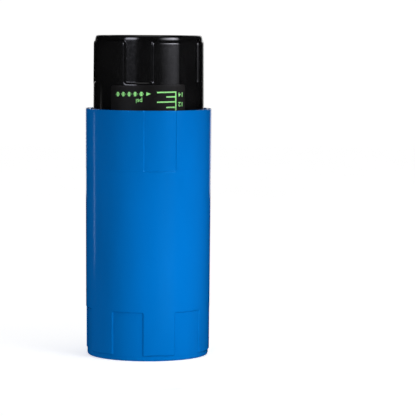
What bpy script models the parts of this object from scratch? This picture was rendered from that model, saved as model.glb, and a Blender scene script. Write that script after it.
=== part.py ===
"""Pressure can for three tennis balls: an outer sleeve, and an inner cup that screws down into it.

The inner cup hangs upside down in the sleeve. Its mouth is a piston with an O-ring, so turning the cup
clockwise drives it down and squeezes the air around the balls. The label on the cup reads the pressure
at the sleeve's rim. The model stands on Z = 0 with its axis on Z and the label towards -Y.
"""

import math

import bmesh
import bpy

MM = 0.001

# Turned shapes and screw threads
SEGMENTS = 64
MERGE = 0.01 * MM
THREAD_STARTS = 2
THREAD_LEAD = 16.0 * MM
THREAD_FLANK_SLOPE = 0.40
THREAD_AXIAL_GAP = 0.4 * MM
THREAD_RADIAL_GAP = 0.35 * MM
THREAD_SINK = 0.6 * MM
THREAD_FIRST = math.radians(2.0)
THREAD_PITCH = THREAD_LEAD / THREAD_STARTS

# Sleeve: lengths along Z
SLEEVE_HEIGHT = 174.5 * MM
FOOT_RECESS_DEPTH = 1.0 * MM
FLOOR_THICKNESS = 3.0 * MM
SEAL_BORE_TOP = 92.0 * MM
LEAD_IN = 4.0 * MM
MOUTH_CHAMFER = 0.8 * MM
FOOT_CHAMFER = 1.5 * MM
SLEEVE_THREAD_LENGTH = 41.0 * MM
SLEEVE_THREAD_BELOW_RIM = 3.5 * MM

# Sleeve: radii
BORE_RADIUS = 40.4 * MM
SEAL_WALL = 3.4 * MM
THREAD_WALL = 2.1 * MM
SLEEVE_DRAFT = 0.7 * MM
FOOT_RING_WIDTH = 5.0 * MM
FOOT_RADIUS = BORE_RADIUS + SEAL_WALL
MOUTH_RADIUS = FOOT_RADIUS + SLEEVE_DRAFT
THREAD_BORE_RADIUS = MOUTH_RADIUS - THREAD_WALL

# Sleeve: grip recesses around the foot, level with the plain ring below them, and one wide shallow
# panel below the rim
FOOT_GRIP_COUNT = 6
FOOT_GRIP_DEPTH = 0.9 * MM
FOOT_GRIP_LOW = 2.5 * MM
FOOT_GRIP_HIGH = 34.0 * MM
FOOT_RING_HEIGHT = 4.0 * MM
FOOT_STEP = 0.4 * MM
FOOT_GRIP_FIRST = math.radians(-17.9)
PANEL_DEPTH = 0.5 * MM
PANEL_HEIGHT = 42.1 * MM
PANEL_MIDDLE = math.radians(12.4)
GRIP_SPAN = math.radians(30.0)

# O-ring and the piston head that carries it
RING_SECTION = 2.6 * MM
SEAL_GAP = 0.25 * MM
GROOVE_ABOVE_MOUTH = 5.5 * MM
GROOVE_SIDE_GAP = 0.3 * MM
GROOVE_WALL = 1.3 * MM
PISTON_CLEARANCE = 0.7 * MM
PISTON_HEIGHT = 11.0 * MM
PISTON_TAPER = 2.0 * MM
PISTON_CHAMFER = 0.6 * MM
RING_OUTER_RADIUS = BORE_RADIUS - SEAL_GAP
RING_MEAN_RADIUS = RING_OUTER_RADIUS - RING_SECTION / 2
GROOVE_RADIUS = RING_OUTER_RADIUS - RING_SECTION - SEAL_GAP
PISTON_RADIUS = BORE_RADIUS - PISTON_CLEARANCE

# Cup: heights are measured up from its mouth
CUP_LENGTH = 208.75 * MM
CEILING_THICKNESS = 3.2 * MM
CUP_STEP_IN = 1.2 * MM
CUP_DRAFT = 0.35 * MM
CUP_DRAFT_LENGTH = 58.0 * MM
CUP_EDGE = 1.2 * MM
CUP_INNER_DRAFT = 0.4 * MM
END_RECESS_DEPTH = 0.8 * MM
END_RING_WIDTH = 7.0 * MM
CUP_RADIUS = BORE_RADIUS - CUP_STEP_IN
CUP_TOP_RADIUS = CUP_RADIUS - CUP_DRAFT
CUP_INNER_RADIUS = GROOVE_RADIUS - GROOVE_WALL

# Cup: grip recesses around the closed end, level with the plain ring above them
CUP_GRIP_COUNT = 6
CUP_GRIP_DEPTH = 1.0 * MM
CUP_GRIP_LENGTH = 33.2 * MM
CUP_RING_HEIGHT = 4.5 * MM
CUP_GRIP_FIRST = math.radians(-9.2)

# Cup: outside thread, broken off on each side of the label
CUP_THREAD_CREST_HALF = 1.4 * MM
CUP_THREAD_ABOVE_BORE = 3.5 * MM
CUP_THREAD_BELOW_GRIP = 27.3 * MM
THREAD_FLAT_SPAN = math.radians(92.0)

# Label
LABEL_THICKNESS = 0.3 * MM
LABEL_GAP = 0.1 * MM
LABEL_HEIGHT = 75.0 * MM
LABEL_BELOW_GRIP = 0.8 * MM
LABEL_SPAN = math.radians(80.7)
LABEL_MIDDLE = math.radians(0.65)
LABEL_SEGMENTS = 15

# Where the cup stands: lowest, and as drawn
MOUTH_AT_BOTTOM = FOOT_RECESS_DEPTH + FLOOR_THICKNESS + 1.0 * MM
LIFT_AT_REST = 12.2 * MM
MOUTH_AT_REST = MOUTH_AT_BOTTOM + LIFT_AT_REST

# A cutter runs this far past the wall that it cuts
OVERRUN = 5.0 * MM


def clear_scene():
    """Remove every object of the start-up scene."""
    for obj in list(bpy.data.objects):
        bpy.data.objects.remove(obj, do_unlink=True)


def add_collection(name):
    """Make a collection under the scene's own."""
    collection = bpy.data.collections.new(name)
    bpy.context.scene.collection.children.link(collection)
    return collection


def add_material(name, color, roughness):
    """Make a non-metallic Principled material; color is linear red, green and blue."""
    material = bpy.data.materials.new(name)
    material.use_nodes = True
    shader = material.node_tree.nodes["Principled BSDF"]
    shader.inputs["Base Color"].default_value = (*color, 1.0)
    shader.inputs["Roughness"].default_value = roughness
    shader.inputs["Metallic"].default_value = 0.0
    return material


def add_object(name, mesh, collection, parent, material=None):
    """Link a mesh as an object, under its joint's empty where it has one."""
    obj = bpy.data.objects.new(name, mesh)
    collection.objects.link(obj)
    obj.parent = parent
    if material:
        mesh.materials.append(material)
    return obj


def add_axis(name, height, collection, parent=None):
    """Add an empty that marks a joint's axis at a height above its parent."""
    axis = bpy.data.objects.new(name, None)
    axis.empty_display_type = "SINGLE_ARROW"
    axis.empty_display_size = 0.05
    axis.location = (0.0, 0.0, height)
    axis.parent = parent
    collection.objects.link(axis)
    return axis


def turned(name, profile, collection, parent, material):
    """Turn a profile of (radius, height) points, which runs down its outer side, around Z."""
    mesh = bpy.data.meshes.new(name)
    points = [(radius, 0.0, height) for radius, height in profile]
    mesh.from_pydata(points, [(i, i + 1) for i in range(len(points) - 1)], [])
    obj = add_object(name, mesh, collection, parent, material)
    screw = obj.modifiers.new("Turn", "SCREW")
    screw.steps = SEGMENTS
    screw.render_steps = SEGMENTS
    screw.use_merge_vertices = True
    screw.merge_threshold = MERGE
    screw.use_smooth_shade = True
    return obj


def swept(name, section, start, span, rise, steps, collection, parent):
    """Sweep a closed section of (radius, height) points around Z, from an angle measured from -Y."""
    graph = bmesh.new()
    direction = start - math.pi / 2
    corners = []
    for radius, height in section:
        spot = (radius * math.cos(direction), radius * math.sin(direction), height)
        corners.append(graph.verts.new(spot))
    face = graph.faces.new(corners)
    bmesh.ops.spin(
        graph,
        geom=[face, *face.edges, *face.verts],
        cent=(0.0, 0.0, 0.0),
        axis=(0.0, 0.0, 1.0),
        dvec=(0.0, 0.0, rise / steps),
        angle=span,
        steps=steps,
    )
    bmesh.ops.recalc_face_normals(graph, faces=graph.faces[:])
    mesh = bpy.data.meshes.new(name)
    graph.to_mesh(mesh)
    graph.free()
    return add_object(name, mesh, collection, parent)


def as_tool(obj):
    """Keep a cutter or a joined-on shape out of the render."""
    obj.hide_render = True
    obj.display_type = "WIRE"
    return obj


def combine(obj, tool, operation):
    """Add an exact Boolean modifier that joins or cuts with a tool."""
    boolean = obj.modifiers.new(tool.name, "BOOLEAN")
    boolean.operation = operation
    boolean.solver = "EXACT"
    boolean.object = as_tool(tool)


def box_section(inner, outer, low, high):
    """Return the section of a sector between two radii and two heights."""
    return [(inner, low), (outer, low), (outer, high), (inner, high)]


def cut_sectors(obj, name, section, first, count, tools, parent):
    """Cut evenly spaced recesses, each one grip span wide; first is the middle of the first."""
    for index in range(count):
        start = first + index * 2 * math.pi / count - GRIP_SPAN / 2
        cutter = swept(f"{name}_{index + 1}", section, start, GRIP_SPAN, 0.0, 6, tools, parent)
        combine(obj, cutter, "DIFFERENCE")


def helix_steps(rise):
    """Return the turns and the number of steps of a thread ridge that climbs a height."""
    turns = rise / THREAD_LEAD
    return turns, math.ceil(turns * SEGMENTS)


def sleeve_thread_section(crest_radius):
    """Return the section of the sleeve's ridge, centred on height 0 and sunk in the wall."""
    cup_crest = THREAD_BORE_RADIUS - THREAD_RADIAL_GAP
    shared = (cup_crest - crest_radius) * THREAD_FLANK_SLOPE
    crest = THREAD_PITCH / 2 - THREAD_AXIAL_GAP - CUP_THREAD_CREST_HALF - shared
    root_radius = THREAD_BORE_RADIUS + THREAD_SINK
    root = crest + (root_radius - crest_radius) * THREAD_FLANK_SLOPE
    return [(crest_radius, -crest), (root_radius, -root), (root_radius, root), (crest_radius, crest)]


def cup_thread_section():
    """Return the section of the cup's ridge, centred on height 0 and sunk in the wall."""
    crest_radius = THREAD_BORE_RADIUS - THREAD_RADIAL_GAP
    root_radius = CUP_RADIUS - THREAD_SINK
    crest = CUP_THREAD_CREST_HALF
    root = crest + (crest_radius - root_radius) * THREAD_FLANK_SLOPE
    return [(root_radius, -root), (crest_radius, -crest), (crest_radius, crest), (root_radius, root)]


def raised(section, height):
    """Return a section moved up by a height."""
    return [(radius, level + height) for radius, level in section]


def sleeve_profile():
    """Return the sleeve's profile, from its floor up the bore, over the rim and down the outside."""
    floor = FOOT_RECESS_DEPTH + FLOOR_THICKNESS
    grip_floor = FOOT_RADIUS - FOOT_GRIP_DEPTH
    foot_inner = grip_floor - FOOT_CHAMFER - FOOT_RING_WIDTH
    return [
        (0.0, floor),
        (BORE_RADIUS, floor),
        (BORE_RADIUS, SEAL_BORE_TOP),
        (THREAD_BORE_RADIUS, SEAL_BORE_TOP + LEAD_IN),
        (THREAD_BORE_RADIUS, SLEEVE_HEIGHT - MOUTH_CHAMFER),
        (THREAD_BORE_RADIUS + MOUTH_CHAMFER, SLEEVE_HEIGHT),
        (MOUTH_RADIUS - MOUTH_CHAMFER / 2, SLEEVE_HEIGHT),
        (MOUTH_RADIUS, SLEEVE_HEIGHT - MOUTH_CHAMFER / 2),
        (FOOT_RADIUS, FOOT_RING_HEIGHT + FOOT_STEP),
        (FOOT_RADIUS - FOOT_STEP, FOOT_RING_HEIGHT),
        (grip_floor, FOOT_RING_HEIGHT),
        (grip_floor, FOOT_CHAMFER),
        (grip_floor - FOOT_CHAMFER * 0.3, FOOT_CHAMFER * 0.3),
        (grip_floor - FOOT_CHAMFER, 0.0),
        (foot_inner, 0.0),
        (foot_inner - FOOT_RECESS_DEPTH, FOOT_RECESS_DEPTH),
        (0.0, FOOT_RECESS_DEPTH),
    ]


def build_sleeve(parts, tools, material):
    """Build the outer sleeve with its grip recesses, rim panel and inside thread."""
    sleeve = turned("outer_sleeve", sleeve_profile(), parts, None, material)
    grip_floor = FOOT_RADIUS - FOOT_GRIP_DEPTH
    outside = MOUTH_RADIUS + OVERRUN
    grip = box_section(grip_floor, outside, FOOT_GRIP_LOW, FOOT_GRIP_HIGH)
    cut_sectors(sleeve, "foot_grip_cutter", grip, FOOT_GRIP_FIRST, FOOT_GRIP_COUNT, tools, None)

    panel_low = SLEEVE_HEIGHT - PANEL_HEIGHT
    panel_floor = MOUTH_RADIUS - PANEL_DEPTH
    panel = box_section(panel_floor, outside, panel_low, SLEEVE_HEIGHT + OVERRUN)
    panel_start = PANEL_MIDDLE - GRIP_SPAN / 2
    cutter = swept("rim_panel_cutter", panel, panel_start, GRIP_SPAN, 0.0, 6, tools, None)
    combine(sleeve, cutter, "DIFFERENCE")

    crest_radius = RING_OUTER_RADIUS + THREAD_AXIAL_GAP
    section = raised(sleeve_thread_section(crest_radius), sleeve_thread_start())
    rise = SLEEVE_THREAD_LENGTH - THREAD_PITCH
    turns, steps = helix_steps(rise)
    for start in range(THREAD_STARTS):
        angle = THREAD_FIRST + start * 2 * math.pi / THREAD_STARTS
        name = f"sleeve_thread_{start + 1}"
        ridge = swept(name, section, angle, turns * 2 * math.pi, rise, steps, tools, None)
        combine(sleeve, ridge, "UNION")
    return sleeve


def sleeve_thread_start():
    """Return the height of the middle of the sleeve's ridges where they start."""
    top = SLEEVE_HEIGHT - SLEEVE_THREAD_BELOW_RIM
    return top - SLEEVE_THREAD_LENGTH + THREAD_PITCH / 2


def cup_profile():
    """Return the cup's profile, from its closed end down the outside and up the inside."""
    grip_floor = CUP_TOP_RADIUS - CUP_GRIP_DEPTH
    end_inner = grip_floor - CUP_EDGE - END_RING_WIDTH
    land_top = CUP_LENGTH - CUP_RING_HEIGHT
    groove_half = RING_SECTION / 2 + GROOVE_SIDE_GAP
    ceiling = CUP_LENGTH - END_RECESS_DEPTH - CEILING_THICKNESS
    return [
        (0.0, CUP_LENGTH - END_RECESS_DEPTH),
        (end_inner - END_RECESS_DEPTH, CUP_LENGTH - END_RECESS_DEPTH),
        (end_inner, CUP_LENGTH),
        (grip_floor - CUP_EDGE, CUP_LENGTH),
        (grip_floor - CUP_EDGE * 0.3, CUP_LENGTH - CUP_EDGE * 0.3),
        (grip_floor, CUP_LENGTH - CUP_EDGE),
        (grip_floor, land_top),
        (CUP_TOP_RADIUS - CUP_EDGE / 2, land_top),
        (CUP_TOP_RADIUS, land_top - CUP_EDGE / 2),
        (CUP_RADIUS, CUP_LENGTH - CUP_DRAFT_LENGTH),
        (CUP_RADIUS, PISTON_HEIGHT + PISTON_TAPER),
        (PISTON_RADIUS, PISTON_HEIGHT),
        (PISTON_RADIUS, GROOVE_ABOVE_MOUTH + groove_half),
        (GROOVE_RADIUS, GROOVE_ABOVE_MOUTH + groove_half),
        (GROOVE_RADIUS, GROOVE_ABOVE_MOUTH - groove_half),
        (PISTON_RADIUS, GROOVE_ABOVE_MOUTH - groove_half),
        (PISTON_RADIUS, PISTON_CHAMFER),
        (PISTON_RADIUS - PISTON_CHAMFER, 0.0),
        (CUP_INNER_RADIUS + PISTON_CHAMFER, 0.0),
        (CUP_INNER_RADIUS, PISTON_CHAMFER),
        (CUP_INNER_RADIUS - CUP_INNER_DRAFT, ceiling),
        (0.0, ceiling),
    ]


def build_cup(parts, tools, axis, material):
    """Build the inner cup with its grip recesses, piston head, ring groove and outside thread."""
    cup = turned("inner_cup", cup_profile(), parts, axis, material)
    grip_low = CUP_LENGTH - CUP_GRIP_LENGTH
    land_top = CUP_LENGTH - CUP_RING_HEIGHT
    grip_floor = CUP_TOP_RADIUS - CUP_GRIP_DEPTH
    grip = box_section(grip_floor, CUP_RADIUS + OVERRUN, grip_low, land_top + OVERRUN)
    cut_sectors(cup, "cup_grip_cutter", grip, CUP_GRIP_FIRST, CUP_GRIP_COUNT, tools, axis)

    first = SEAL_BORE_TOP + LEAD_IN + CUP_THREAD_ABOVE_BORE - MOUTH_AT_BOTTOM
    rise = CUP_LENGTH - CUP_GRIP_LENGTH - CUP_THREAD_BELOW_GRIP - first
    turns, steps = helix_steps(rise)
    climb = first + MOUTH_AT_REST - sleeve_thread_start() + THREAD_PITCH / 2
    first_angle = THREAD_FIRST + climb * 2 * math.pi / THREAD_LEAD
    label_side = THREAD_FLAT_SPAN / 2
    flat = box_section(CUP_INNER_RADIUS, THREAD_BORE_RADIUS + OVERRUN, 0.0, CUP_LENGTH)
    for start in range(THREAD_STARTS):
        angle = first_angle + start * 2 * math.pi / THREAD_STARTS
        name = f"cup_thread_{start + 1}"
        section = raised(cup_thread_section(), first)
        ridge = swept(name, section, angle, turns * 2 * math.pi, rise, steps, tools, axis)
        gap = swept(f"{name}_gap", flat, LABEL_MIDDLE - label_side, 2 * label_side, 0.0, 12, tools, axis)
        combine(ridge, gap, "DIFFERENCE")
        combine(cup, ridge, "UNION")
    return cup


def build_label(parts, axis, material):
    """Build the label as a thin curved sheet just clear of the cup's wall."""
    graph = bmesh.new()
    high = CUP_LENGTH - CUP_GRIP_LENGTH - LABEL_BELOW_GRIP
    radius = CUP_RADIUS + LABEL_GAP
    direction = LABEL_MIDDLE - LABEL_SPAN / 2 - math.pi / 2
    across = radius * math.cos(direction)
    along = radius * math.sin(direction)
    low_corner = graph.verts.new((across, along, high - LABEL_HEIGHT))
    high_corner = graph.verts.new((across, along, high))
    edge = graph.edges.new((low_corner, high_corner))
    bmesh.ops.spin(
        graph,
        geom=[edge, low_corner, high_corner],
        cent=(0.0, 0.0, 0.0),
        axis=(0.0, 0.0, 1.0),
        angle=LABEL_SPAN,
        steps=LABEL_SEGMENTS,
    )
    for face in graph.faces:
        middle = face.calc_center_median()
        if face.normal.x * middle.x + face.normal.y * middle.y < 0:
            face.normal_flip()
    mesh = bpy.data.meshes.new("scale_label")
    graph.to_mesh(mesh)
    graph.free()
    label = add_object("scale_label", mesh, parts, axis, material)
    sheet = label.modifiers.new("Thickness", "SOLIDIFY")
    sheet.thickness = LABEL_THICKNESS
    sheet.offset = 1.0
    return label


def build_ring(parts, axis, material):
    """Build the O-ring that sits in the piston's groove."""
    bpy.ops.mesh.primitive_torus_add(
        major_radius=RING_MEAN_RADIUS,
        minor_radius=RING_SECTION / 2,
        major_segments=SEGMENTS,
        minor_segments=12,
    )
    ring = bpy.context.active_object
    ring.name = "seal_ring"
    ring.data.name = "seal_ring"
    ring.data.materials.append(material)
    ring.data.shade_smooth()
    for collection in list(ring.users_collection):
        collection.objects.unlink(ring)
    parts.objects.link(ring)
    ring.parent = axis
    ring.location = (0.0, 0.0, GROOVE_ABOVE_MOUTH)
    return ring


def main():
    """Build the can as it stands, part screwed down."""
    clear_scene()
    parts = add_collection("tennis_ball_can")
    tools = add_collection("tools")
    travel_axis = add_axis("travel_axis", MOUTH_AT_REST, parts)
    turn_axis = add_axis("turn_axis", 0.0, parts, travel_axis)

    build_sleeve(parts, tools, add_material("blue_plastic", (0.001, 0.153, 0.539), 0.22))
    build_cup(parts, tools, turn_axis, add_material("black_plastic", (0.006, 0.006, 0.007), 0.18))
    build_label(parts, turn_axis, add_material("label_print", (0.012, 0.010, 0.008), 0.50))
    build_ring(parts, travel_axis, add_material("black_rubber", (0.012, 0.012, 0.012), 0.70))


main()
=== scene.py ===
"""Studio scene of a screw-down pressure can for three tennis balls.

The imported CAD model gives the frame: sizes in metres, the bodies and the screw that joins them. Each piece of
the can is built here with its real roundings, grip recesses, threads and finishes, and rides on the body of
the piece that it stands for. Angles round the can are measured from -Y, the label's side, towards +X.
"""

import logging
import math
from collections.abc import Callable, Sequence
from dataclasses import dataclass
from enum import Enum
from typing import Any, ClassVar

import bmesh
import bpy
import numpy as np
from mathutils import Euler, Matrix, Vector


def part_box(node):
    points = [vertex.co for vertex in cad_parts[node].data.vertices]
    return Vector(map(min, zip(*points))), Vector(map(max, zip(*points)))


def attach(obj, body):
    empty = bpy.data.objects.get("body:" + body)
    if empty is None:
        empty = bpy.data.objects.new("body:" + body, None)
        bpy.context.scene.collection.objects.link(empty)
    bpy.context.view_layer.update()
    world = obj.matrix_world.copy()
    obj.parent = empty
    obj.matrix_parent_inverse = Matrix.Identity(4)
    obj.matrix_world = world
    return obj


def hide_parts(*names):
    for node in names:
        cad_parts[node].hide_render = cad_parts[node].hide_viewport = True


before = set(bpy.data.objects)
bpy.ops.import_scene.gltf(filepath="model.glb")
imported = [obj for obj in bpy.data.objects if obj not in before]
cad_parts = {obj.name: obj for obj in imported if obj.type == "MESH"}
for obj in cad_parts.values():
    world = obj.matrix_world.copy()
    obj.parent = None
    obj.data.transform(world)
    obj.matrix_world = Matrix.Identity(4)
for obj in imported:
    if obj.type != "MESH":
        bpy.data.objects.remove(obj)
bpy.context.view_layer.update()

MM = 0.001
FULL_TURN = 2 * math.pi
ARC_STEPS = 8
# How far an open recess runs on past the end of its wall
BEYOND_THE_END = 20 * MM
# Edges of the label and its print that turn by more than this stay crisp
CRISP_ANGLE = math.radians(40.0)
# How closely a profile is sampled when its rows are spaced
SAMPLE_STEP = 0.05 * MM
# A point nearer to the can's axis than this lies on it
ON_AXIS = 1e-9

log = logging.getLogger("ball_can")


class Body(Enum):
    """The CAD bodies that the pieces ride on."""

    SLEEVE = "sleeve"
    SEAL = "seal"
    CUP = "cup"


class Slot(Enum):
    """The record's material slots."""

    BLUE_PLASTIC = "blue_plastic"
    BLACK_PLASTIC = "black_plastic"
    LABEL_PRINT = "label_print"
    BLACK_RUBBER = "black_rubber"


# ---------------------------------------------------------------- colour and material nodes


def linear(hex_colour: str) -> tuple[float, float, float, float]:
    """Turn an sRGB hex colour into linear light.

    Args:
        hex_colour: six hex digits, red first.

    Returns:
        Linear red, green and blue, and an alpha of one.
    """
    channels = []
    for start in (0, 2, 4):
        value = int(hex_colour[start : start + 2], 16) / 255
        channels.append(value / 12.92 if value <= 0.04045 else ((value + 0.055) / 1.055) ** 2.4)
    return (channels[0], channels[1], channels[2], 1.0)


def cells_of(size_mm: float) -> float:
    """Return the scale of a noise whose cells are this many millimetres across."""
    return 1000.0 / size_mm


def add_node(
    tree: bpy.types.NodeTree, kind: str, settings: dict[str, Any], inputs: dict[int | str, Any]
) -> bpy.types.Node:
    """Add a node with its settings, and link or set its inputs.

    Args:
        tree: Node tree that gets the node.
        kind: Blender's name for the node type.
        settings: Properties of the node by name.
        inputs: Its inputs by name or number, each a value, a socket to link from, or a node whose first
            output is linked.

    Returns:
        The new node.
    """
    node = tree.nodes.new(kind)
    for name, value in settings.items():
        setattr(node, name, value)
    for name, value in inputs.items():
        source = value.outputs[0] if isinstance(value, bpy.types.Node) else value
        if isinstance(source, bpy.types.NodeSocket):
            tree.links.new(source, node.inputs[name])
        else:
            node.inputs[name].default_value = source
    return node


SMOOTH = {"interpolation_type": "SMOOTHSTEP"}
COLOURS = {"data_type": "RGBA"}
TIMES_PLUS = {"operation": "MULTIPLY_ADD"}


@dataclass(frozen=True)
class Finish:
    """A surface finish: what it is made of, and its colour, gloss and refraction."""

    name: str
    colour: str
    roughness: float
    ior: float

    def material(self) -> bpy.types.Material:
        """Make the finish's material, or find it again.

        Returns:
            The material, made the first time that it is asked for.
        """
        made = bpy.data.materials.get(self.name)
        if made:
            return made
        made = bpy.data.materials.new(self.name)
        made.use_nodes = True
        tree = made.node_tree
        shader = tree.nodes["Principled BSDF"]
        shader.inputs["Base Color"].default_value = linear(self.colour)
        shader.inputs["Roughness"].default_value = self.roughness
        shader.inputs["IOR"].default_value = self.ior
        shader.inputs["Metallic"].default_value = 0.0
        self.lay(tree, shader)
        return made

    def lay(self, tree: bpy.types.NodeTree, shader: bpy.types.Node) -> None:
        """Lay the finish's own pattern over the plain shader.

        Args:
            tree: The material's node tree.
            shader: Its Principled shader.
        """

    def wire(
        self,
        tree: bpy.types.NodeTree,
        shader: bpy.types.Node,
        colour: bpy.types.Node,
        gloss: bpy.types.Node,
        relief: bpy.types.Node,
    ) -> None:
        """Lead a finish's colour, gloss and relief to its shader.

        Args:
            tree: The material's node tree.
            shader: Its Principled shader.
            colour: The node that blends its two colours.
            gloss: The node that gives its roughness.
            relief: The node that bumps its surface.
        """
        tree.links.new(colour.outputs[2], shader.inputs["Base Color"])
        tree.links.new(gloss.outputs[0], shader.inputs["Roughness"])
        tree.links.new(relief.outputs[0], shader.inputs["Normal"])


@dataclass(frozen=True)
class MouldedPlastic(Finish):
    """ABS from a polished mould, with what moulding and handling leave on it.

    Patches shade its colour, haze and hairlines dull its gloss, and the wall waves where it cooled. A squash
    below one draws a pattern out upright; the ends are the noise levels between which it comes in.
    """

    gloss_tint: str
    patch_colour: str
    patch_mm: float
    patch_squash: float
    patch_ends: tuple[float, float]
    haze_mm: float
    haze_gloss: tuple[float, float]
    haze_depth_mm: float
    hairline_mm: float
    hairline_squash: float
    hairline_ends: tuple[float, float]
    hairline_gloss: float
    wave_mm: float
    wave_squash: float
    wave_depth_mm: float
    haze_ends: tuple[float, float] = (0.35, 0.75)
    hairline_depth_mm: float = 0.001

    def lay(self, tree: bpy.types.NodeTree, shader: bpy.types.Node) -> None:
        """Lay patches, haze, upright hairlines and the slow waviness of a cooled wall.

        Args:
            tree: The material's node tree.
            shader: Its Principled shader.
        """
        space = add_node(tree, "ShaderNodeTexCoord", {}, {}).outputs["Object"]
        grains = (
            (self.patch_mm, self.patch_squash, 3.0),
            (self.haze_mm, 1.0, 4.0),
            (self.hairline_mm, self.hairline_squash, 2.0),
            (self.wave_mm, self.wave_squash, 1.0),
        )
        noises = []
        for size_mm, squash, detail in grains:
            stretch = {"Vector": space, "Scale": (1.0, 1.0, squash)}
            stretched = add_node(tree, "ShaderNodeMapping", {}, stretch)
            grain = {"Vector": stretched, "Scale": cells_of(size_mm), "Detail": detail}
            noises.append(add_node(tree, "ShaderNodeTexNoise", {}, grain))
        patches, haze, hairlines, waves = noises
        shade = {0: patches, 1: self.patch_ends[0], 2: self.patch_ends[1]}
        shaded = add_node(tree, "ShaderNodeMapRange", SMOOTH, shade)
        blend = {0: shaded, 6: linear(self.colour), 7: linear(self.patch_colour)}
        colour = add_node(tree, "ShaderNodeMix", COLOURS, blend)
        cuts = {0: hairlines, 1: self.hairline_ends[0], 2: self.hairline_ends[1]}
        scratched = add_node(tree, "ShaderNodeMapRange", SMOOTH, cuts)
        clear, dull = (self.roughness + change for change in self.haze_gloss)
        span = {0: haze, 1: self.haze_ends[0], 2: self.haze_ends[1], 3: clear, 4: dull}
        rubbed = add_node(tree, "ShaderNodeMapRange", SMOOTH, span)
        dulled = {0: scratched, 1: self.hairline_gloss, 2: rubbed}
        gloss = add_node(tree, "ShaderNodeMath", TIMES_PLUS, dulled)
        swell = {"Height": waves, "Distance": self.wave_depth_mm * MM}
        wavy = add_node(tree, "ShaderNodeBump", {}, swell)
        mist = {"Height": haze, "Distance": self.haze_depth_mm * MM, "Normal": wavy}
        hazed = add_node(tree, "ShaderNodeBump", {}, mist)
        lines = {"Height": scratched, "Distance": self.hairline_depth_mm * MM, "Normal": hazed}
        cut = add_node(tree, "ShaderNodeBump", {}, lines)
        shader.inputs["Specular Tint"].default_value = linear(self.gloss_tint)
        self.wire(tree, shader, colour, gloss, cut)


@dataclass(frozen=True)
class MouldedBluePlastic(MouldedPlastic):
    """ABS coloured through and moulded against polished steel.

    To the eye it is a deep even blue under a clear soft gloss, a shade darker where the melt flowed up the
    wall. The wall waves slightly where it cooled, and has upright hairlines from being carried and put down.
    """

    name: str = "moulded_blue_abs"
    colour: str = "006FC6"
    roughness: float = 0.14
    ior: float = 1.54
    # The moulded blue is purer than a screen can show, so its reflections are kept a little blue
    gloss_tint: str = "40B8FF"
    patch_colour: str = "006BBF"
    patch_mm: float = 34.0
    patch_squash: float = 1 / 3
    patch_ends: tuple[float, float] = (0.3, 0.7)
    haze_mm: float = 2.2
    haze_gloss: tuple[float, float] = (-0.03, 0.05)
    haze_depth_mm: float = 0.0025
    # Hairlines are really 0.02 mm wide, and are drawn wide enough to catch the light
    hairline_mm: float = 0.35
    hairline_squash: float = 1 / 60
    hairline_ends: tuple[float, float] = (0.66, 0.8)
    hairline_gloss: float = 0.07
    wave_mm: float = 16.0
    wave_squash: float = 0.4
    wave_depth_mm: float = 0.018


@dataclass(frozen=True)
class MouldedBlackPlastic(MouldedPlastic):
    """Black ABS from a mirror-polished mould.

    Its body colour is almost nothing, so the eye sees only its gloss: crisp reflections along every rounded
    edge, slightly dulled in patches by hands and broken by hairlines.
    """

    name: str = "moulded_black_abs"
    colour: str = "0F0F10"
    roughness: float = 0.11
    ior: float = 1.54
    gloss_tint: str = "FFFFFF"
    patch_colour: str = "141415"
    patch_mm: float = 22.0
    patch_squash: float = 1.0
    patch_ends: tuple[float, float] = (0.4, 0.7)
    haze_mm: float = 1.8
    haze_gloss: tuple[float, float] = (-0.02, 0.06)
    haze_depth_mm: float = 0.002
    # Hairlines are drawn wider than the real 0.02 mm, so that they catch the light
    hairline_mm: float = 0.3
    hairline_squash: float = 1 / 40
    hairline_ends: tuple[float, float] = (0.67, 0.8)
    hairline_gloss: float = 0.1
    wave_mm: float = 14.0
    wave_squash: float = 0.5
    wave_depth_mm: float = 0.02


@dataclass(frozen=True)
class PrintedFilm(Finish):
    """Polyester film printed brown-black on its back.

    To the eye it is a warm matt skin on the glossy cup, with a fine even tooth that breaks up the highlights.
    """

    name: str = "matt_printed_film"
    colour: str = "0E0B09"
    roughness: float = 0.5
    ior: float = 1.5
    sheen_level: float = 0.2
    faded_colour: str = "13100D"
    mottle_mm: float = 2.5
    # The film's tooth is about 0.05 mm, drawn five times coarser to show
    tooth_mm: float = 0.25
    tooth_depth_mm: float = 0.006

    def lay(self, tree: bpy.types.NodeTree, shader: bpy.types.Node) -> None:
        """Lay the tooth of the film and a faint mottling of the print.

        Args:
            tree: The material's node tree.
            shader: Its Principled shader.
        """
        space = add_node(tree, "ShaderNodeTexCoord", {}, {}).outputs["Object"]
        mottle_grain = {"Vector": space, "Scale": cells_of(self.mottle_mm), "Detail": 4.0}
        tooth_grain = {"Vector": space, "Scale": cells_of(self.tooth_mm), "Detail": 2.0}
        mottle = add_node(tree, "ShaderNodeTexNoise", {}, mottle_grain)
        tooth = add_node(tree, "ShaderNodeTexNoise", {}, tooth_grain)
        faded = add_node(tree, "ShaderNodeMapRange", SMOOTH, {0: mottle, 1: 0.3, 2: 0.7})
        blend = {0: faded, 6: linear(self.colour), 7: linear(self.faded_colour)}
        colour = add_node(tree, "ShaderNodeMix", COLOURS, blend)
        span = {0: tooth, 1: 0.3, 2: 0.7, 3: self.roughness - 0.07, 4: self.roughness + 0.08}
        gloss = add_node(tree, "ShaderNodeMapRange", SMOOTH, span)
        skin = add_node(tree, "ShaderNodeBump", {}, {"Height": tooth, "Distance": self.tooth_depth_mm * MM})
        shader.inputs["Specular IOR Level"].default_value = self.sheen_level
        self.wire(tree, shader, colour, gloss, skin)


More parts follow.
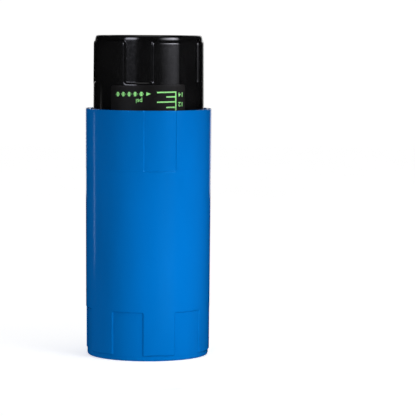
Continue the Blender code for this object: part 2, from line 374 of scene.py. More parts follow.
@dataclass(frozen=True)
class GreenInk(Finish):
    """Pale green screen-printed ink.

    To the eye it is a flat opaque coat that stands out from the dark film, a little uneven in weight.
    """

    name: str = "pale_green_screen_ink"
    colour: str = "9CF58E"
    roughness: float = 0.45
    ior: float = 1.5
    thin_colour: str = "84DE78"
    weight_mm: float = 0.8
    ink_depth_mm: float = 0.004

    def lay(self, tree: bpy.types.NodeTree, shader: bpy.types.Node) -> None:
        """Lay the uneven weight of the ink.

        Args:
            tree: The material's node tree.
            shader: Its Principled shader.
        """
        space = add_node(tree, "ShaderNodeTexCoord", {}, {}).outputs["Object"]
        grain = {"Vector": space, "Scale": cells_of(self.weight_mm), "Detail": 3.0}
        weight = add_node(tree, "ShaderNodeTexNoise", {}, grain)
        thin = add_node(tree, "ShaderNodeMapRange", SMOOTH, {0: weight, 1: 0.45, 2: 0.7})
        blend = {0: thin, 6: linear(self.colour), 7: linear(self.thin_colour)}
        colour = add_node(tree, "ShaderNodeMix", COLOURS, blend)
        span = {0: weight, 1: 0.3, 2: 0.7, 3: self.roughness, 4: self.roughness + 0.12}
        gloss = add_node(tree, "ShaderNodeMapRange", SMOOTH, span)
        coat = add_node(tree, "ShaderNodeBump", {}, {"Height": weight, "Distance": self.ink_depth_mm * MM})
        self.wire(tree, shader, colour, gloss, coat)


@dataclass(frozen=True)
class GreasedNitrile(Finish):
    """Moulded nitrile rubber wiped with silicone grease.

    To the eye it is a dull soft black with wet shiny patches where the grease lies.
    """

    name: str = "greased_nitrile_rubber"
    colour: str = "1B1B1B"
    roughness: float = 0.55
    ior: float = 1.52
    greased_colour: str = "151515"
    greased_roughness: float = 0.22
    patch_mm: float = 3.5
    grain_mm: float = 0.2
    grain_depth_mm: float = 0.008
    grease_depth_mm: float = 0.02

    def lay(self, tree: bpy.types.NodeTree, shader: bpy.types.Node) -> None:
        """Lay the grease in patches over the rubber's grain.

        Args:
            tree: The material's node tree.
            shader: Its Principled shader.
        """
        space = add_node(tree, "ShaderNodeTexCoord", {}, {}).outputs["Object"]
        patch_grain = {"Vector": space, "Scale": cells_of(self.patch_mm), "Detail": 4.0}
        skin_grain = {"Vector": space, "Scale": cells_of(self.grain_mm), "Detail": 2.0}
        patches = add_node(tree, "ShaderNodeTexNoise", {}, patch_grain)
        grain = add_node(tree, "ShaderNodeTexNoise", {}, skin_grain)
        greased = add_node(tree, "ShaderNodeMapRange", SMOOTH, {0: patches, 1: 0.42, 2: 0.62})
        blend = {0: greased, 6: linear(self.colour), 7: linear(self.greased_colour)}
        colour = add_node(tree, "ShaderNodeMix", COLOURS, blend)
        span = {0: patches, 1: 0.42, 2: 0.62, 3: self.roughness, 4: self.greased_roughness}
        gloss = add_node(tree, "ShaderNodeMapRange", SMOOTH, span)
        skin = add_node(tree, "ShaderNodeBump", {}, {"Height": grain, "Distance": self.grain_depth_mm * MM})
        wiped = {"Height": patches, "Distance": self.grease_depth_mm * MM, "Normal": skin}
        film = add_node(tree, "ShaderNodeBump", {}, wiped)
        self.wire(tree, shader, colour, gloss, film)


@dataclass(frozen=True)
class SweepPaper(Finish):
    """White seamless paper lit to just past white: matt to the eye, with the faintest cloudiness."""

    name: str = "seamless_paper"
    colour: str = "F6F6F6"
    roughness: float = 0.9
    ior: float = 1.45
    clouded_colour: str = "F9F9F9"
    cloud_mm: float = 90.0
    lift: float = 0.5

    def lay(self, tree: bpy.types.NodeTree, shader: bpy.types.Node) -> None:
        """Lay the paper's cloudiness.

        Args:
            tree: The material's node tree.
            shader: Its Principled shader.
        """
        space = add_node(tree, "ShaderNodeTexCoord", {}, {}).outputs["Object"]
        grain = {"Vector": space, "Scale": cells_of(self.cloud_mm), "Detail": 3.0}
        cloud = add_node(tree, "ShaderNodeTexNoise", {}, grain)
        clouded = add_node(tree, "ShaderNodeMapRange", SMOOTH, {0: cloud, 1: 0.2, 2: 0.8})
        blend = {0: clouded, 6: linear(self.colour), 7: linear(self.clouded_colour)}
        colour = add_node(tree, "ShaderNodeMix", COLOURS, blend)
        tree.links.new(colour.outputs[2], shader.inputs["Base Color"])
        shader.inputs["Emission Color"].default_value = linear("FFFFFF")
        shader.inputs["Emission Strength"].default_value = self.lift


# ---------------------------------------------------------------- profiles, recesses and turned meshes


@dataclass(frozen=True)
class Corner:
    """One corner of a turned profile, with the rounding that a mould gives it."""

    radius: float
    height: float
    rounding: float = 0.0


def rounded_profile(corners: Sequence[Corner]) -> np.ndarray:
    """Round the corners of a profile.

    Args:
        corners: The profile's corners in order.

    Returns:
        Rows of radius and height.
    """
    points: list[Vector] = []
    spots = [Vector((corner.radius, corner.height)) for corner in corners]
    for index, corner in enumerate(corners):
        here = spots[index]
        if corner.rounding <= 0 or index in (0, len(corners) - 1):
            points.append(here)
            continue
        back = (spots[index - 1] - here).normalized()
        ahead = (spots[index + 1] - here).normalized()
        half = math.acos(max(-1.0, min(1.0, back.dot(ahead)))) / 2
        reach = corner.rounding / math.tan(half)
        middle = here + (back + ahead).normalized() * (corner.rounding / math.sin(half))
        first = here + back * reach - middle
        last = here + ahead * reach - middle
        turn = math.atan2(first.x * last.y - first.y * last.x, first.dot(last))
        for step in range(ARC_STEPS + 1):
            angle = turn * step / ARC_STEPS
            spin = Matrix.Rotation(angle, 2)
            points.append(middle + spin @ first)
    return np.array([tuple(point) for point in points])


def evenly(first: float, count: int) -> list[float]:
    """Return angles evenly spaced round the can, from the first one on."""
    return [first + index * FULL_TURN / count for index in range(count)]


def tall_edge(radius: float, height: float, width: float, drop: float, steps: int = 14) -> list[Corner]:
    """Round a top outer edge by a quarter ellipse.

    Args:
        radius: Radius of the wall below the edge.
        height: Height of the top face.
        width: How far the edge reaches in over the top.
        drop: How far it reaches down the wall.
        steps: Number of steps round it.

    Returns:
        Corners from the top face down to the wall.
    """
    corners = []
    for step in range(steps + 1):
        angle = math.pi / 2 * step / steps
        across = radius - width + width * math.sin(angle)
        corners.append(Corner(across, height - drop + drop * math.cos(angle)))
    return corners


def spaced(profile: np.ndarray, spacing: Callable[[float, float], float]) -> np.ndarray:
    """Add points along a profile so that none are too far apart.

    Args:
        profile: Rows of radius and height.
        spacing: Longest distance allowed at a radius and height.

    Returns:
        The profile with the points added.
    """
    points = [profile[0]]
    for first, last in zip(profile[:-1], profile[1:]):
        length = float(np.linalg.norm(last - first))
        if length <= 0:
            continue
        shares = np.linspace(0.0, 1.0, max(2, math.ceil(length / SAMPLE_STEP)))
        spots = first + (last - first) * shares[:, None]
        needed = np.array([1.0 / spacing(float(radius), float(height)) for radius, height in spots])
        between = (needed[1:] + needed[:-1]) / 2 * np.diff(shares) * length
        filled = np.concatenate([[0.0], np.cumsum(between)])
        steps = max(1, round(float(filled[-1])))
        places = np.interp(np.arange(1, steps + 1) * filled[-1] / steps, filled, shares)
        points.extend(first + (last - first) * place for place in places)
    return np.array(points)


def wrapped_angle(angles: np.ndarray | float) -> np.ndarray:
    """Bring angles into the half turn on each side of zero."""
    return (np.asarray(angles) + math.pi) % FULL_TURN - math.pi


def columns(edges: Sequence[float], radius: float, reach: float, fine: float, count: int) -> np.ndarray:
    """Choose the angles of a turned mesh's columns, close together at the edges of recesses.

    Args:
        edges: Angles of the edges.
        radius: Radius of the wall.
        reach: Distance on each side of an edge that is filled closely.
        fine: Distance between columns there.
        count: Number of evenly spaced columns elsewhere.

    Returns:
        The angles in rising order.
    """
    even = np.arange(count) * FULL_TURN / count
    clear = reach / radius + 0.4 * FULL_TURN / count
    angles = [a for a in even if all(abs(wrapped_angle(a - edge)) > clear for edge in edges)]
    for edge in edges:
        angles.extend(edge + np.arange(-reach, reach + fine / 2, fine) / radius)
    return np.sort(np.mod(np.array(angles), FULL_TURN))


def s_curve(values: np.ndarray) -> np.ndarray:
    """Rise smoothly from 0 to 1 as the values do."""
    held = np.clip(values, 0.0, 1.0)
    return held * held * (3 - 2 * held)


def pocket_edge(values: np.ndarray) -> np.ndarray:
    """Fall from 0 to 1 as a cut pocket does, its upper edge polished round and its floor's corner crisp."""
    held = np.clip(values, 0.0, 1.0)
    return held * held * (1.6 - 0.6 * held)


@dataclass(frozen=True)
class Recess:
    """A moulded recess in a round wall; low and high are its ends, which may lie beyond the wall's."""

    middle: float
    span: float
    low: float
    high: float
    corner: float

    def gap_to(self, radius: float, angles: np.ndarray, heights: np.ndarray) -> np.ndarray:
        """Return the distance from each point to the recess's outline, negative inside.

        Args:
            radius: Radius of the wall.
            angles: Row of angles.
            heights: Column of heights.

        Returns:
            One distance for each height and angle.
        """
        across = np.abs(wrapped_angle(angles - self.middle)) * radius - self.span * radius / 2
        along = np.maximum(self.low - heights, heights - self.high)
        over_x = across + self.corner
        over_z = along + self.corner
        outside = np.hypot(np.maximum(over_x, 0.0), np.maximum(over_z, 0.0))
        return outside + np.minimum(np.maximum(over_x, over_z), 0.0) - self.corner

    def edges(self) -> tuple[float, float]:
        """Return the angles of the recess's two upright edges."""
        return (self.middle - self.span / 2, self.middle + self.span / 2)


def joined_gap(first: np.ndarray, second: np.ndarray, corner: float) -> np.ndarray:
    """Join two recesses so that the raised land between them has rounded corners.

    Args:
        first: Distances to one recess.
        second: Distances to the other.
        corner: Corner radius of the land.

    Returns:
        Distances to the two together.
    """
    near = np.minimum(first, second)
    rounded = corner - np.hypot(np.maximum(corner - first, 0.0), np.maximum(corner - second, 0.0))
    return np.where(near < corner, np.minimum(near, rounded), near)


def linked(name: str, data: bpy.types.ID) -> bpy.types.Object:
    """Make an object and link it to the scene.

    Args:
        name: The object's name.
        data: Its mesh, curve or camera.

    Returns:
        The object.
    """
    made = bpy.data.objects.new(name, data)
    bpy.context.scene.collection.objects.link(made)
    return made


def finished_object(
    name: str, mesh: bpy.types.Mesh, finish: Finish, body: Body
) -> bpy.types.Object:
    """Link a mesh as a piece of the can, smooth, in its finish and on its body.

    Args:
        name: The piece's name.
        mesh: Its mesh, in the row frame.
        finish: Its finish.
        body: The CAD body that it rides on.

    Returns:
        The piece.
    """
    mesh.materials.append(finish.material())
    mesh.shade_smooth()
    piece = linked(name, mesh)
    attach(piece, body.value)
    log.info("%s: %d faces, rides on %s", name, len(mesh.polygons), body.value)
    return piece


def turned_mesh(name: str, profile: np.ndarray, angles: np.ndarray, sunk: np.ndarray) -> bpy.types.Mesh:
    """Turn a profile round the can's axis, with parts of it sunk towards the axis.

    Args:
        name: The mesh's name.
        profile: Rows of radius and height that start and end on the axis, or that close on themselves.
        angles: Angles of the columns.
        sunk: How far each point of the profile is sunk at each angle.

    Returns:
        A closed mesh with its normals outwards.
    """
    closed_loop = profile[0][0] > ON_AXIS
    rows = profile if closed_loop else profile[1:-1]
    depth = sunk if closed_loop else sunk[1:-1]
    radii = rows[:, 0][:, None] - depth
    across = radii * np.sin(angles)[None, :]
    along = -radii * np.cos(angles)[None, :]
    up = np.repeat(rows[:, 1][:, None], len(angles), axis=1)
    spots = np.stack([across, along, up], axis=-1).reshape(-1, 3).tolist()
    count = len(angles)
    high = len(rows)
    faces: list[tuple[int, ...]] = []
    for row in range(high if closed_loop else high - 1):
        here = row * count
        below = (row + 1) % high * count
        for column in range(count):
            beside = (column + 1) % count
            faces.append((here + column, here + beside, below + beside, below + column))
    if not closed_loop:
        for end, row in ((profile[0], 0), (profile[-1], high - 1)):
            centre = len(spots)
            spots.append([0.0, 0.0, float(end[1])])
            for column in range(count):
                faces.append((row * count + column, row * count + (column + 1) % count, centre))
    return closed_mesh(name, spots, faces)


def closed_mesh(
    name: str, spots: Sequence[Sequence[float]], faces: Sequence[Sequence[int]]
) -> bpy.types.Mesh:
    """Make a closed mesh whose faces all look outwards.

    Args:
        name: The mesh's name.
        spots: Its points.
        faces: The points of each face, in either sense.

    Returns:
        The mesh.
    """
    mesh = bpy.data.meshes.new(name)
    mesh.from_pydata(spots, [], faces)
    return outward(mesh)


def mesh_from(name: str, graph: bmesh.types.BMesh) -> bpy.types.Mesh:
    """Make a mesh of an edited one.

    Args:
        name: The mesh's name.
        graph: The edited mesh; it is freed.

    Returns:
        The mesh.
    """
    mesh = bpy.data.meshes.new(name)
    graph.to_mesh(mesh)
    graph.free()
    return mesh


def add_outline(graph: bmesh.types.BMesh, spots: Sequence[tuple[float, float]]) -> None:
    """Add a filled outline to flat artwork, its spots measured across and up."""
    graph.faces.new([graph.verts.new((across, 0.0, up)) for across, up in spots])


def outward(mesh: bpy.types.Mesh) -> bpy.types.Mesh:
    """Turn every face of a closed mesh outwards.

    Args:
        mesh: The mesh to mend.

    Returns:
        The same mesh.
    """
    graph = bmesh.new()
    graph.from_mesh(mesh)
    bmesh.ops.recalc_face_normals(graph, faces=graph.faces[:])
    graph.to_mesh(mesh)
    graph.free()
    mesh.update()
    return mesh


# ---------------------------------------------------------------- the screw thread


@dataclass(frozen=True)
class ScrewThread:
    """The can's two-start screw, shared by the ridges in the sleeve and on the cup."""

    starts: int = 2
    lead: float = 16.0 * MM
    flank_slope: float = 0.40
    first_angle: float = math.radians(2.0)
    crest_rounding: float = 0.45 * MM
    rounding_steps: int = 4
    run_out: float = math.radians(14.0)
    lowest_rise: float = 0.16
    narrowest: float = 0.35
    steps_a_turn: int = 150
    fewest_steps: int = 12

    def section(
        self, crest: float, root: float, half_width: float, rise: float
    ) -> list[tuple[float, float]]:
        """Return a ridge's rounded section, part risen from its wall.

        Args:
            crest: Radius of the crest.
            root: Radius of the buried root.
            half_width: Half of the crest's width.
            rise: Share of the ridge's full height, from 0 to 1.

        Returns:
            Radius and height of each point, the height measured from the ridge's middle.
        """
        top = root + (crest - root) * rise
        way = 1 if crest > root else -1
        tall = abs(top - root)
        rounding = min(self.crest_rounding, tall * 0.45, half_width * 0.8)
        spread = half_width + tall * self.flank_slope
        points = [(root, -spread)]
        for step in range(self.rounding_steps + 1):
            angle = math.pi / 2 * step / self.rounding_steps
            sag = rounding * (1 - math.sin(angle))
            side = rounding * (1 - math.cos(angle))
            points.append((top - way * sag, -(half_width + sag * self.flank_slope - side * 0.9)))
        mirrored = [(radius, -level) for radius, level in reversed(points)]
        return points + mirrored

    def ridge(
        self,
        name: str,
        crest: float,
        root: float,
        half_width: float,
        start: tuple[float, float],
        span: float,
    ) -> bpy.types.Mesh:
        """Sweep one ridge up the screw, with a run-out at each end.

        Args:
            name: The mesh's name.
            crest: Radius of the crest.
            root: Radius of the buried root.
            half_width: Half of the crest's width.
            start: Angle and height of the ridge's middle where it starts.
            span: Angle that it climbs through.

        Returns:
            A closed mesh.
        """
        steps = max(self.fewest_steps, math.ceil(span / FULL_TURN * self.steps_a_turn))
        run_out = min(self.run_out, span / 3)
        spots: list[tuple[float, float, float]] = []
        width = 0
        for step in range(steps + 1):
            turned = span * step / steps
            share = min(turned, span - turned) / run_out
            rise = self.lowest_rise + (1 - self.lowest_rise) * float(s_curve(np.array(share)))
            width_share = self.narrowest + (1 - self.narrowest) * rise
            points = self.section(crest, root, half_width * width_share, rise)
            width = len(points)
            angle = start[0] + turned
            climb = start[1] + self.lead * turned / FULL_TURN
            for radius, level in points:
                spots.append((radius * math.sin(angle), -radius * math.cos(angle), climb + level))
        faces = [tuple(range(width)), tuple(range(steps * width, (steps + 1) * width))]
        for step in range(steps):
            for side in range(width):
                beside = (side + 1) % width
                here = step * width
                faces.append((here + side, here + beside, here + width + beside, here + width + side))
        return closed_mesh(name, spots, faces)


# ---------------------------------------------------------------- what the two cups share


@dataclass(frozen=True)
class GateMark:
    """The trimmed stub of a moulding gate on its low disc, in the middle of a cup's end."""

    disc_radius: float
    stub_foot: float
    stub_head: float
    stub_height: float
    disc_height: float = 0.12 * MM
    disc_rounding: float = 0.12 * MM
    foot_rounding: float = 0.2 * MM
    head_rounding: float = 0.15 * MM
    dip: float = 0.05 * MM
    buried: float = 0.3 * MM
    row_spacing: float = 0.3 * MM
    column_count: int = 48

    def mesh(self, name: str, level: float, way: int) -> bpy.types.Mesh:
        """Turn the mark.

        Args:
            name: The mesh's name.
            level: Height of the face that it stands on.
            way: 1 where that face looks up, and -1 where it looks down.

        Returns:
            A closed mesh.
        """
        disc_top = level + way * self.disc_height
        corners = [
            Corner(0.0, level - way * self.buried),
            Corner(self.disc_radius, level - way * self.buried),
            Corner(self.disc_radius, disc_top, self.disc_rounding),
            Corner(self.stub_foot, disc_top, self.foot_rounding),
            Corner(self.stub_head, level + way * self.stub_height, self.head_rounding),
            Corner(0.0, level + way * (self.stub_height - self.dip)),
        ]
        profile = spaced(rounded_profile(corners), lambda radius, height: self.row_spacing)
        angles = np.arange(self.column_count) * FULL_TURN / self.column_count
        return turned_mesh(name, profile, angles, np.zeros((len(profile), len(angles))))


@dataclass
class MouldedCup:
    """A moulded cup of the can: its thread and finish, and how its pieces are put on its body."""

    thread: ScrewThread
    finish: Finish
    slot: ClassVar[Slot]
    body: ClassVar[Body]

    def put(self, name: str, mesh: bpy.types.Mesh) -> bpy.types.Object:
        """Make a mesh a piece of this cup, in its finish and on its body."""
        return finished_object(name, mesh, self.finish, self.body)

    def put_ridges(
        self,
        prefix: str,
        crest: float,
        root: float,
        half_width: float,
        runs: Sequence[tuple[float, float, float]],
    ) -> list[bpy.types.Object]:
        """Build the ridges of the cup's thread.

        Args:
            prefix: What their names start with.
            crest: Radius of the crests.
            root: Radius of the buried roots.
            half_width: Half of a crest's width.
            runs: Angle and height where each ridge starts, and the angle that it climbs through.

        Returns:
            The ridges.
        """
        made = []
        for number, (angle, height, span) in enumerate(runs, start=1):
            name = f"{prefix}_{number}"
            ridge = self.thread.ridge(name, crest, root, half_width, (angle, height), span)
            made.append(self.put(name, ridge))
        return made


# ---------------------------------------------------------------- the sleeve


@dataclass
class OuterSleeve(MouldedCup):
    """The blue outer sleeve: floor, seal bore, inside thread, foot grips and rim panel."""

    slot = Slot.BLUE_PLASTIC
    body = Body.SLEEVE
    height: float
    mouth_radius: float
    draft: float = 0.7 * MM
    bore_radius: float = 40.4 * MM
    seal_bore_top: float = 92.0 * MM
    lead_in: float = 4.0 * MM
    bore_rounding: float = 1.5 * MM
    thread_wall: float = 2.1 * MM
    mouth_chamfer: float = 0.7 * MM
    chamfer_drop: float = 0.8 * MM
    chamfer_rounding: float = 0.35 * MM
    rim_rounding: float = 0.5 * MM
    floor_height: float = 4.0 * MM
    floor_rounding: float = 1.6 * MM
    foot_recess: float = 1.0 * MM
    foot_rounding: float = 1.5 * MM
    foot_width: float = 5.9 * MM
    foot_chamfer: float = 1.0 * MM
    foot_ring: float = 4.0 * MM
    grip_count: int = 6
    grip_first: float = math.radians(-17.9)
    grip_span: float = math.radians(30.0)
    grip_depth: float = 0.9 * MM
    grip_top: float = 34.0 * MM
    grip_edge: float = 1.1 * MM
    grip_corner: float = 1.0 * MM
    land_corner: float = 0.9 * MM
    panel_middle: float = math.radians(12.4)
    panel_depth: float = 0.5 * MM
    panel_height: float = 42.1 * MM
    panel_edge: float = 0.9 * MM
    panel_corner: float = 0.8 * MM
    witness_step: float = 0.07 * MM
    witness_width: float = 0.7 * MM
    skin_depth: float = 5.0 * MM
    rim_band: float = 3.0 * MM
    rim_fade_starts: float = 1.35 * MM
    rim_fade: float = 0.7 * MM
    under_fade: float = 3.0 * MM
    crest_radius: float = 40.55 * MM
    ridge_half: float = 1.6 * MM
    ridge_rise: float = 33.0 * MM
    ridge_start: float = 134.0 * MM
    ridge_root: float = 0.5 * MM
    column_count: int = 216
    column_reach: float = 1.0 * MM
    column_fine: float = 0.14 * MM
    inside_rows: float = 3.2 * MM
    fine_rows: float = 0.13 * MM
    plain_rows: float = 2.6 * MM
    fine_band: float = 1.3 * MM

    @property
    def foot_radius(self) -> float:
        """Radius of the wall at the foot."""
        return self.mouth_radius - self.draft

    @property
    def thread_bore(self) -> float:
        """Radius of the bore that carries the thread."""
        return self.mouth_radius - self.thread_wall

    @property
    def grips(self) -> list[Recess]:
        """The recesses round the foot, which run out below into the plain foot ring.

        Returns:
            One recess for each grip.
        """
        return [
            Recess(middle, self.grip_span, -BEYOND_THE_END, self.grip_top, self.grip_corner)
            for middle in evenly(self.grip_first, self.grip_count)
        ]

    @property
    def panel(self) -> Recess:
        """The wide shallow panel under the rim, open at the rim."""
        ends = (self.height - self.panel_height, self.height + BEYOND_THE_END)
        return Recess(self.panel_middle, self.grip_span, *ends, self.panel_corner)

    def profile(self) -> np.ndarray:
        """Draw the profile from the middle of the floor up the bore, over the rim and down to the foot.

        Returns:
            Rows of radius and height.
        """
        foot_inner = self.foot_radius - self.foot_rounding - self.foot_width
        corners = [
            Corner(0.0, self.floor_height),
            Corner(self.bore_radius, self.floor_height, self.floor_rounding),
            Corner(self.bore_radius, self.seal_bore_top, self.bore_rounding),
            Corner(self.thread_bore, self.seal_bore_top + self.lead_in, self.bore_rounding),
            Corner(self.thread_bore, self.height - self.chamfer_drop, self.rim_rounding),
            Corner(self.thread_bore + self.mouth_chamfer, self.height, self.chamfer_rounding),
            Corner(self.mouth_radius, self.height, self.rim_rounding),
            Corner(self.foot_radius, 0.0, self.foot_rounding),
            Corner(foot_inner, 0.0, 0.3 * MM),
            Corner(foot_inner - self.foot_chamfer, self.foot_recess, 0.5 * MM),
            Corner(0.0, self.foot_recess),
        ]
        return spaced(rounded_profile(corners), self.spacing)

    def spacing(self, radius: float, height: float) -> float:
        """Choose how far apart the rows may be at a place on the profile.

        Args:
            radius: Its radius.
            height: Its height.

        Returns:
            The longest distance between rows there.
        """
        if radius < self.foot_radius - 2 * MM:
            return self.inside_rows
        lines = (self.foot_ring, self.grip_top, self.height - self.panel_height)
        if any(abs(height - line) < self.fine_band for line in lines):
            return self.fine_rows
        return self.plain_rows

    def sunk(self, profile: np.ndarray, angles: np.ndarray) -> np.ndarray:
        """Return how far the skin is sunk by the foot ring, the grips, the panel and the witness line.

        Args:
            profile: Rows of radius and height.
            angles: Angles of the columns.

        Returns:
            Depths for each row and column.
        """
        heights = profile[:, 1][:, None]
        row = angles[None, :]
        foot = heights - self.foot_ring + 0.0 * row
        gap = np.full(foot.shape, 1.0)
        for grip in self.grips:
            gap = np.minimum(gap, grip.gap_to(self.foot_radius, row, heights))
        gap = joined_gap(gap, foot, self.land_corner)
        depth = self.grip_depth * s_curve(0.5 - gap / self.grip_edge)
        panel_gap = self.panel.gap_to(self.mouth_radius, row, heights)
        depth += self.panel_depth * s_curve(0.5 - panel_gap / self.panel_edge)
        seam = self.height - self.panel_height
        depth += self.witness_step * s_curve((seam - heights) / self.witness_width + 0.5)
        return depth * self.skin_share(profile)[:, None]

    def skin_share(self, profile: np.ndarray) -> np.ndarray:
        """Return how much of the sinking each row takes: all on the outer skin and none inside.

        Args:
            profile: Rows of radius and height.

        Returns:
            A share from 0 to 1 for each row, which fades over the rim and under the foot.
        """
        radii = profile[:, 0]
        heights = profile[:, 1]
        skin_starts = self.foot_radius - self.skin_depth
        fade_starts = self.mouth_radius - self.rim_fade_starts
        over_rim = np.clip((radii - fade_starts) / self.rim_fade, 0.0, 1.0)
        skin = (radii > skin_starts).astype(float)
        share = np.where(heights >= self.height - self.rim_band, over_rim, skin)
        share[(radii <= self.thread_bore + 0.05 * MM) & (heights > self.floor_height - 0.1 * MM)] = 0.0
        under = heights < 0.2 * MM
        share[under] = np.clip((radii[under] - skin_starts) / self.under_fade, 0.0, 1.0)
        return share

    def build(self) -> list[bpy.types.Object]:
        """Build the shell, its thread and its gate mark, and put them on the sleeve's body.

        Returns:
            The shell first, then the thread ridges and the gate mark.
        """
        edges = [edge for recess in (*self.grips, self.panel) for edge in recess.edges()]
        angles = columns(edges, self.foot_radius, self.column_reach, self.column_fine, self.column_count)
        profile = self.profile()
        mesh = turned_mesh("outer_sleeve_shell", profile, angles, self.sunk(profile, angles))
        shell = self.put("outer_sleeve_shell", mesh)
        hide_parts("outer_sleeve")
        span = self.ridge_rise / self.thread.lead * FULL_TURN
        starts = evenly(self.thread.first_angle, self.thread.starts)
        runs = [(start, self.ridge_start, span) for start in starts]
        root = self.thread_bore + self.ridge_root
        ridges = self.put_ridges("sleeve_thread", self.crest_radius, root, self.ridge_half, runs)
        gate = GateMark(3.0 * MM, 1.1 * MM, 0.9 * MM, 0.45 * MM)
        mark = self.put("sleeve_gate_mark", gate.mesh("sleeve_gate_mark", self.foot_recess, -1))
        return [shell, *ridges, mark]


# ---------------------------------------------------------------- the cup


@dataclass
class InnerCup(MouldedCup):
    """The black inner cup, closed end up: end ring, grip lands, outside thread and piston head."""

    slot = Slot.BLACK_PLASTIC
    body = Body.CUP
    mouth: float
    top: float
    wall_radius: float = 39.2 * MM
    top_radius: float = 38.85 * MM
    draft_length: float = 58.0 * MM
    draft_rounding: float = 20.0 * MM
    inner_radius: float = 36.0 * MM
    inner_draft: float = 0.4 * MM
    ceiling_rounding: float = 2.0 * MM
    end_thickness: float = 3.2 * MM
    end_recess: float = 0.8 * MM
    end_inner: float = 29.65 * MM
    edge_width: float = 1.2 * MM
    edge_drop: float = 3.1 * MM
    ring_height: float = 4.5 * MM
    ring_step: float = 2.6 * MM
    grip_count: int = 6
    grip_first: float = math.radians(-9.2)
    grip_span: float = math.radians(30.0)
    grip_depth: float = 1.0 * MM
    grip_length: float = 33.2 * MM
    grip_edge: float = 2.0 * MM
    grip_corner: float = 1.8 * MM
    land_corner: float = 1.3 * MM
    piston_radius: float = 39.7 * MM
    piston_height: float = 11.0 * MM
    piston_slope: float = 2.0 * MM
    groove_radius: float = 37.3 * MM
    groove_middle: float = 5.5 * MM
    groove_half: float = 1.6 * MM
    groove_rounding: float = 0.25 * MM
    mouth_rounding: float = 0.8 * MM
    crest_radius: float = 42.05 * MM
    ridge_half: float = 1.4 * MM
    ridge_first: float = 94.5 * MM
    ridge_rise: float = 53.75 * MM
    ridge_root: float = 0.5 * MM
    ridge_first_angle: float = math.radians(-49.75)
    shortest_ridge: float = math.radians(10.0)
    flat_middle: float = math.radians(0.65)
    flat_span: float = math.radians(92.0)
    column_count: int = 216
    column_reach: float = 1.3 * MM
    column_fine: float = 0.2 * MM
    inside_rows: float = 4.0 * MM
    fine_rows: float = 0.2 * MM
    plain_rows: float = 3.0 * MM
    fine_band: float = 1.9 * MM

    @property
    def grips(self) -> list[Recess]:
        """The recesses round the closed end, which run out above into the plain end ring.

        Returns:
            One recess for each grip.
        """
        ends = (self.top - self.grip_length, self.top + BEYOND_THE_END)
        return [
            Recess(middle, self.grip_span, *ends, self.grip_corner)
            for middle in evenly(self.grip_first, self.grip_count)
        ]

    @property
    def land_top(self) -> float:
        """Height of the middle of the step from the lands to the end ring."""
        return self.top - self.ring_height

    def profile(self) -> np.ndarray:
        """Draw the profile from the closed end down the outside and up the inside.

        Returns:
            Rows of radius and height.
        """
        mouth = self.mouth
        end_face = self.top - self.end_recess
        ceiling = end_face - self.end_thickness
        ring_radius = self.top_radius - self.grip_depth
        groove_low = mouth + self.groove_middle - self.groove_half
        groove_high = mouth + self.groove_middle + self.groove_half
        corners = [
            Corner(0.0, end_face),
            Corner(self.end_inner, end_face, 0.5 * MM),
            Corner(self.end_inner + self.end_recess, self.top, 0.4 * MM),
            *tall_edge(ring_radius, self.top, self.edge_width, self.edge_drop),
            Corner(ring_radius, self.top - self.edge_drop - 0.05 * MM),
            Corner(self.top_radius, self.top - self.edge_drop - 0.1 * MM),
            Corner(self.wall_radius, self.top - self.draft_length, self.draft_rounding),
            Corner(self.wall_radius, mouth + self.piston_height + self.piston_slope, 1.2 * MM),
            Corner(self.piston_radius, mouth + self.piston_height, 0.8 * MM),
            Corner(self.piston_radius, groove_high, self.groove_rounding),
            Corner(self.groove_radius, groove_high, self.groove_rounding),
            Corner(self.groove_radius, groove_low, self.groove_rounding),
            Corner(self.piston_radius, groove_low, self.groove_rounding),
            Corner(self.piston_radius, mouth, 0.7 * MM),
            Corner(self.inner_radius, mouth, self.mouth_rounding),
            Corner(self.inner_radius - self.inner_draft, ceiling, self.ceiling_rounding),
            Corner(0.0, ceiling),
        ]
        return spaced(rounded_profile(corners), self.spacing)

    def spacing(self, radius: float, height: float) -> float:
        """Choose how far apart the rows may be at a place on the profile.

        Args:
            radius: Its radius.
            height: Its height.

        Returns:
            The longest distance between rows there.
        """
        if radius < self.groove_radius - 0.5 * MM:
            return self.inside_rows
        at_ring = abs(height - self.land_top) < self.ring_step / 2 + 0.3 * MM
        at_grip_foot = abs(height - (self.top - self.grip_length)) < self.fine_band
        return self.fine_rows if at_ring or at_grip_foot else self.plain_rows

    def sunk(self, profile: np.ndarray, angles: np.ndarray) -> np.ndarray:
        """Return how far the skin is sunk by the end ring and the grips.

        Args:
            profile: Rows of radius and height.
            angles: Angles of the columns.

        Returns:
            Depths for each row and column.
        """
        heights = profile[:, 1][:, None]
        row = angles[None, :]
        gap = np.full((len(profile), len(angles)), 1.0)
        for grip in self.grips:
            gap = np.minimum(gap, grip.gap_to(self.top_radius, row, heights))
        ring = (self.land_top - heights) * (self.grip_edge / self.ring_step) + 0.0 * row
        gap = joined_gap(gap, ring, self.land_corner)
        depth = self.grip_depth * pocket_edge(0.5 - gap / self.grip_edge)
        outside = profile[:, 0] > self.groove_radius + 0.5 * MM
        above_piston = profile[:, 1] > self.mouth + 20 * MM
        below_edge = profile[:, 1] < self.top - self.edge_drop - 0.08 * MM
        return depth * (outside & above_piston & below_edge)[:, None]

